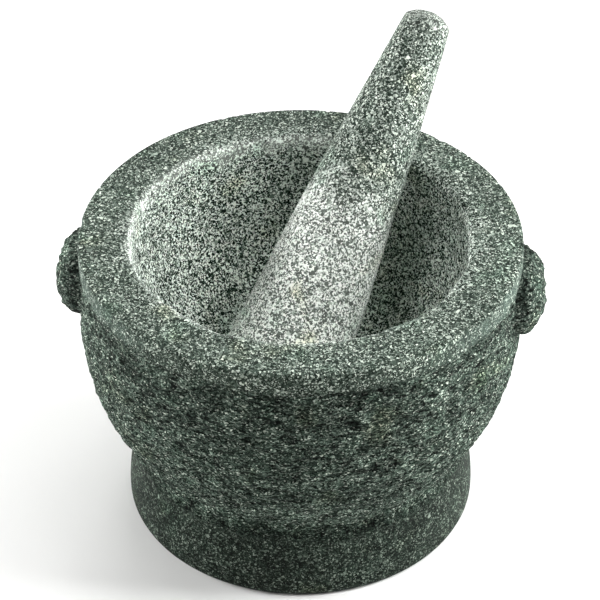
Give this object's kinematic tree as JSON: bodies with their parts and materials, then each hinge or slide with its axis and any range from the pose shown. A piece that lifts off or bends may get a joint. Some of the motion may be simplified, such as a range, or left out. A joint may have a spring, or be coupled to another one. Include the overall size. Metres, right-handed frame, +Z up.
{
  "type": "stone mortar and pestle",
  "caption": "Heavy granite kitchen mortar on a round foot with two side lugs and a loose tapered pestle, for grinding spices and salsas.",
  "frame": {"origin": "middle of the foot's flat underside, on the resting surface", "axes": "+Z up, X through the two lugs, -Y the front, with the pestle leaning to the back right (+X, +Y)"},
  "size_m": [0.226, 0.2059, 0.2128],
  "materials": {
    "mortar_granite": "dark green-grey speckled granite, honed on the rim and foot, rough-hewn on the belly and lugs, ground in the bowl",
    "pestle_granite": "speckled granite, darker and honed on the handle, pale and ground on the working half"
  },
  "bodies": {
    "mortar": {"mortar": "mortar_granite"},
    "pestle": {"pestle": "pestle_granite"}
  },
  "joints": [
    {"name": "pestle_lift", "type": "slide", "parent": "mortar", "child": "pestle", "axis": [0, 0, 1], "range_m": [0, 0.12]}
  ]
}
